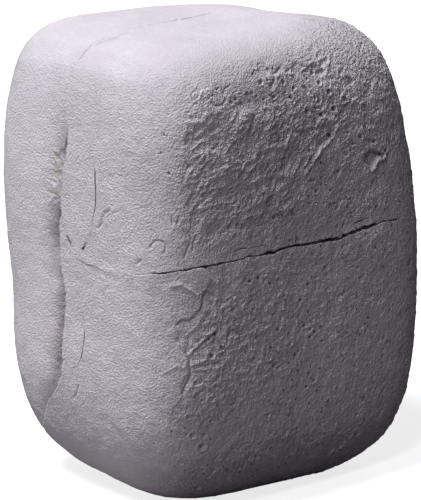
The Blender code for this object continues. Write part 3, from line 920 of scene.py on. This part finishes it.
def mark_left_cracks(skin, finish):
    """Height of the lips, crumbs and rubble along the left face's cracks; adds their tints to the finish,
    with painted shade in the slab's valley and painted light on the slab behind it.
    """
    x, y, z = skin.T
    behind = y - upright_crack(x, z)
    left = fall(x, -20, 3)
    on_slab = (behind > -GAP) * left
    valley = np.exp(-np.maximum(behind, 0) / 0.95) * on_slab
    shaded = bell(behind / (1.5 + 0.7 * noise(skin, 2, 66))) * on_slab
    lip = bell((behind + 0.7) / 0.5) * left * fall(z, 51, 6) * rise(z, 14, 4)
    crumbs = left * bell((behind - 1.4) / 1.3) * rise(z, 40, 2) * fall(z, 50, 2)
    rubble = on_slab * bell(behind / 1.1) * along(RUBBLE_AND_CRACK_SHADE, z)
    ridge = bell((z - level_crack(x, y)) / 0.7) * fall(x, -19, 3) * (behind < 0)
    height = CRACK_LIP_TALL * lip - along(SLAB_DIP, z) * valley + LEVEL_RIDGE_TALL * ridge
    height += where_felt(crumbs, skin, crumb_lumps) + where_felt(rubble, skin, rubble_lumps)

    # painted shade in the slab's valley beside the upright crack
    finish["painted_shade"] = np.maximum(finish["painted_shade"], shaded * along(SLAB_SHADE, z))
    # painted light on the slab behind the crack
    finish["painted_light"] = np.maximum(finish["painted_light"], 0.6 * left * rise(behind, 1.2, 4) * fall(y, 18, 5))
    finish["cream"] = crumbs * smooth_step(0.7 + noise(skin, 1.2, 62))
    # reddish rubble tint, darkened further as painted shade of the open crack
    finish["rubble_and_shade"] = rubble * smooth_step(0.6 + 1.2 * noise(skin, 0.8, 65))
    return height


def shape_piece(node, points):
    """Moves a piece's points from the faceted CAD onto the worn chalk surface."""
    spoke = points - HEART
    distance = np.linalg.norm(spoke, axis=1)
    direction = spoke / distance[:, None]
    radius = skin_radius(direction)
    depth = radius - distance
    lift = depth - depth * smooth_step(depth / FACET_DEPTH)
    moved = points + direction * lift[:, None]
    moved += cross_cracks(node, moved, depth)

    near = depth < DEEPEST_MARK
    skin = HEART + direction[near] * radius[near][:, None]
    height, finish = relief(skin)
    height += mark_left_cracks(skin, finish)
    # painted shade in hollows, darker the deeper they are
    finish["cavity_shade"] = np.clip(-height / CAVITY_SHADE_DEPTH, 0, 1)
    reach = np.exp(-np.maximum(depth[near], 0) / MARK_DEPTH)
    above_base = smooth_step(moved[near][:, 2] / BASE_ROOM)
    normal = skin_normal(direction[near], radius[near])
    moved[near] += normal * (height * reach * above_base)[:, None]
    moved[:, 2] = np.maximum(moved[:, 2], 0)

    marks = {}
    for name, values in finish.items():
        # broken faces inside the block are rough all over
        marks[name] = np.full(len(points), INSIDE.get(name, 0.0))
        marks[name][near] += (values - marks[name][near]) * reach
    return moved, marks


# ------ materials

# In order: the plain chalk; a darker tone for specks and broken chalk, also used as painted shade in hollows;
# a paler tone for the chalk's clouds; painted light; painted shade down the near edge and in the slab's
# valley; cream crumbs; reddish rubble, also painted shade in the open crack; painted shade in pits and
# grooves.
CHALK = (0.71, 0.657, 0.742)
CHALK_SHADE = (0.59, 0.537, 0.615)
CHALK_PALE = (0.77, 0.73, 0.80)
CHALK_PAINTED_LIGHT = (0.84, 0.79, 0.88)
CHALK_PAINTED_SHADE = (0.33, 0.295, 0.34)
CREAM = (0.68, 0.64, 0.60)
RUBBLE_TINT_AND_SHADE = (0.30, 0.16, 0.13)
PIT_SHADE = (0.2, 0.185, 0.205)
# Pits in the finish, sunk by bump and darkened with painted shade: the size of the cells that hold them, and
# their radius.
FINISH_PITS = ((0.8, 0.2), (1.7, 0.33))
PIT_CHANCE = 0.55
PIT_SINK = 1.4
# Size of the finest grain, and how tall it stands.
GRAIN_SIZE = 0.24
GRAIN_TALL = 0.17


def link_mix(tree, factor, first, second):
    """Colour mix; each colour is a socket or a plain colour."""
    mix = tree.nodes.new("ShaderNodeMix")
    mix.data_type = "RGBA"
    tree.links.new(factor, mix.inputs["Factor"])
    for socket, value in (("A", first), ("B", second)):
        if isinstance(value, tuple):
            mix.inputs[socket].default_value = (*value, 1)
        else:
            tree.links.new(value, mix.inputs[socket])
    return mix.outputs["Result"]


def link_noise(tree, place, feature, detail):
    """Noise whose features are this many millimetres across."""
    texture = tree.nodes.new("ShaderNodeTexNoise")
    texture.inputs["Scale"].default_value = 1 / (feature * MM)
    texture.inputs["Detail"].default_value = detail
    tree.links.new(place, texture.inputs["Vector"])
    return texture.outputs["Fac"]


def link_range(tree, value, low, high, start=0.0, end=1.0):
    span = tree.nodes.new("ShaderNodeMapRange")
    for name, number in (("From Min", low), ("From Max", high), ("To Min", start), ("To Max", end)):
        span.inputs[name].default_value = number
    tree.links.new(value, span.inputs["Value"])
    return span.outputs["Result"]


def link_mark(tree, name):
    mark = tree.nodes.new("ShaderNodeAttribute")
    mark.attribute_name = name
    return mark.outputs["Fac"]


def link_math(tree, operation, first, second):
    """Arithmetic on two values; each is a socket or a number."""
    maths = tree.nodes.new("ShaderNodeMath")
    maths.operation = operation
    for socket, value in zip(maths.inputs, (first, second)):
        if isinstance(value, (int, float)):
            socket.default_value = value
        else:
            tree.links.new(value, socket)
    return maths.outputs[0]


def link_pits(tree, place, size, radius):
    """1 inside small round pits, 0 outside: fewer than half of the cells of this size hold one."""
    cell = tree.nodes.new("ShaderNodeTexVoronoi")
    cell.inputs["Scale"].default_value = 1 / (size * MM)
    tree.links.new(place, cell.inputs["Vector"])
    chance = tree.nodes.new("ShaderNodeSeparateColor")
    tree.links.new(cell.outputs["Color"], chance.inputs["Color"])
    luck = chance.outputs["Red"]
    wide = link_range(tree, luck, PIT_CHANCE, 1.0, 0.35 * radius / size, radius / size)
    wide = link_math(tree, "MULTIPLY", wide, link_math(tree, "GREATER_THAN", luck, PIT_CHANCE))
    ratio = link_math(tree, "DIVIDE", cell.outputs["Distance"], link_math(tree, "MAXIMUM", wide, 0.001))
    return link_range(tree, ratio, 0.7, 1.2, 1.0, 0.0)


def chalk_material(name):
    material = bpy.data.materials.new(name)
    material.use_nodes = True
    tree = material.node_tree
    shader = tree.nodes["Principled BSDF"]
    place = tree.nodes.new("ShaderNodeTexCoord").outputs["Object"]
    pits = link_math(tree, "MAXIMUM", *(link_pits(tree, place, size, radius) for size, radius in FINISH_PITS))
    pits = link_math(tree, "MULTIPLY", pits, link_mark(tree, "pitted"))
    # painted shade: the finish's pits and the single pits and grooves darken the chalk towards the pit colour
    dark = link_math(tree, "MAXIMUM", pits, link_mark(tree, "hole_shade"))

    clouds = link_range(tree, link_noise(tree, place, 7, 4), 0.4, 0.65)
    colour = link_mix(tree, clouds, CHALK, CHALK_PALE)
    specks = link_range(tree, link_noise(tree, place, 0.7, 3), 0.35, 0.6, 0.35, 0.0)
    colour = link_mix(tree, specks, colour, CHALK_SHADE)
    # tints laid over the chalk in this order, each with its greatest strength: darker broken chalk, painted
    # shade in hollows, painted shade in pits and grooves, cream crumbs, a reddish rubble tint that is also
    # painted shade in the open crack, painted light, and painted shade down the near edge and in the slab's
    # valley
    tints = (
        (link_mark(tree, "broken"), 0.3, CHALK_SHADE),
        (link_mark(tree, "cavity_shade"), 0.5, CHALK_SHADE),
        (dark, 0.8, PIT_SHADE),
        (link_mark(tree, "cream"), 0.8, CREAM),
        (link_mark(tree, "rubble_and_shade"), 0.6, RUBBLE_TINT_AND_SHADE),
        (link_mark(tree, "painted_light"), 1.0, CHALK_PAINTED_LIGHT),
        (link_mark(tree, "painted_shade"), 0.95, CHALK_PAINTED_SHADE),
    )
    for mark, strength, tint in tints:
        colour = link_mix(tree, link_range(tree, mark, 0, 1, 0, strength), colour, tint)
    tree.links.new(colour, shader.inputs["Base Color"])
    shader.inputs["Specular IOR Level"].default_value = 0.12
    tree.links.new(link_range(tree, clouds, 0, 1, 0.97, 0.88), shader.inputs["Roughness"])

    grain = link_math(tree, "MULTIPLY", link_mark(tree, "grain"), link_noise(tree, place, GRAIN_SIZE, 2))
    height = link_math(tree, "SUBTRACT", grain, link_math(tree, "MULTIPLY", pits, PIT_SINK))
    bump = tree.nodes.new("ShaderNodeBump")
    bump.inputs["Strength"].default_value = 1.0
    bump.inputs["Distance"].default_value = GRAIN_TALL * MM
    tree.links.new(height, bump.inputs["Height"])
    tree.links.new(bump.outputs["Normal"], shader.inputs["Normal"])
    return material


# ------ stage

VIEW_AZIMUTH = -42.0
VIEW_ELEVATION = 15.0
VIEW_DISTANCE = 0.375
VIEW_CENTRE = Vector((0, 0, 0.0308))
LENS = 198.0
FLOOR_COLOUR = (0.6, 0.6, 0.6)
# How strongly the floor glows for the camera, as an evenly lit studio floor would.
FLOOR_GLOW = 0.78
# The floor looks pale, but throws little light back, so that the front face stays in shade.
FLOOR_BOUNCE = (0.12, 0.115, 0.12)
FLOOR_REACH = 3
# Light from the backdrop, and how bright it looks.
SKY_LIGHT = 0.02
SKY_GLOW = 0.93
# Azimuth and elevation in degrees, distance and size in metres, and power in watts.
LIGHTS = {
    "key": (-98, 66, 0.9, 0.3, 7.0),
    "low_left": (-130, 4, 0.9, 0.3, 0.25),
    "fill": (-56, 50, 0.9, 0.15, 1.8),
    "back": (135, 10, 0.9, 0.3, 1.5),
    "card": (-84, 0, 0.11, 0.06, 0.016),
}
# The card stands lower than the middle of the view.
CARD_HEIGHT = 0.013


def direction_from(azimuth, elevation):
    """Unit vector from the block towards a place: azimuth 0 is in front, and 90 to the right."""
    a, e = math.radians(azimuth), math.radians(elevation)
    return Vector((math.sin(a) * math.cos(e), -math.cos(a) * math.cos(e), math.sin(e)))


def soft_light(name, azimuth, elevation, distance, size, power):
    light = bpy.data.lights.new(name, "AREA")
    light.shape = "DISK"
    light.size = size
    light.energy = power
    lamp = add_object(name, light)
    towards = direction_from(azimuth, elevation)
    lamp.location = VIEW_CENTRE + towards * distance
    lamp.rotation_euler = towards.to_track_quat("Z", "Y").to_euler()
    return lamp


def make_stage():
    bm = bmesh.new()
    bmesh.ops.create_grid(bm, x_segments=1, y_segments=1, size=FLOOR_REACH)
    mesh = bpy.data.meshes.new("floor")
    bm.to_mesh(mesh)
    bm.free()
    material = bpy.data.materials.new("pale_floor")
    material.use_nodes = True
    tree = material.node_tree
    shader = tree.nodes["Principled BSDF"]
    shader.inputs["Roughness"].default_value = 1.0
    seen = tree.nodes.new("ShaderNodeLightPath").outputs["Is Camera Ray"]
    tree.links.new(link_mix(tree, seen, FLOOR_BOUNCE, FLOOR_COLOUR), shader.inputs["Base Color"])
    tree.links.new(link_math(tree, "MULTIPLY", seen, FLOOR_GLOW), shader.inputs["Emission Strength"])
    shader.inputs["Emission Color"].default_value = (1, 1, 1, 1)
    mesh.materials.append(material)
    add_object("floor", mesh)


def make_camera():
    data = bpy.data.cameras.new("camera")
    data.lens = LENS
    data.sensor_width = 36
    data.clip_start = 0.01
    camera = add_object("camera", data)
    back = direction_from(VIEW_AZIMUTH, VIEW_ELEVATION)
    camera.location = VIEW_CENTRE + back * VIEW_DISTANCE
    camera.rotation_euler = back.to_track_quat("Z", "Y").to_euler()
    bpy.context.scene.camera = camera


def make_lights():
    world = bpy.data.worlds.new("studio")
    world.use_nodes = True
    tree = world.node_tree
    backdrop = tree.nodes["Background"]
    backdrop.inputs["Color"].default_value = (1, 1, 1, 1)
    seen = tree.nodes.new("ShaderNodeLightPath").outputs["Is Camera Ray"]
    tree.links.new(link_range(tree, seen, 0, 1, SKY_LIGHT, SKY_GLOW), backdrop.inputs["Strength"])
    bpy.context.scene.world = world
    lamps = {name: soft_light(name, *settings) for name, settings in LIGHTS.items()}
    lamps["card"].location.z = CARD_HEIGHT
    bpy.context.scene.view_settings.view_transform = "Standard"


finishes = {name: chalk_material(name) for name in ("pressed_chalk", "pressed_skin")}
for body, nodes in frame["record"]["behaviour"]["bodies"].items():
    for node in nodes:
        slot = next(s["material_slot"] for s in frame["record"]["subparts"] if s["node"] == node)
        make_piece(node, body, FLAKE_GRID if node in FLAKES else CHUNK_GRID, finishes[slot])
make_stage()
make_camera()
make_lights()
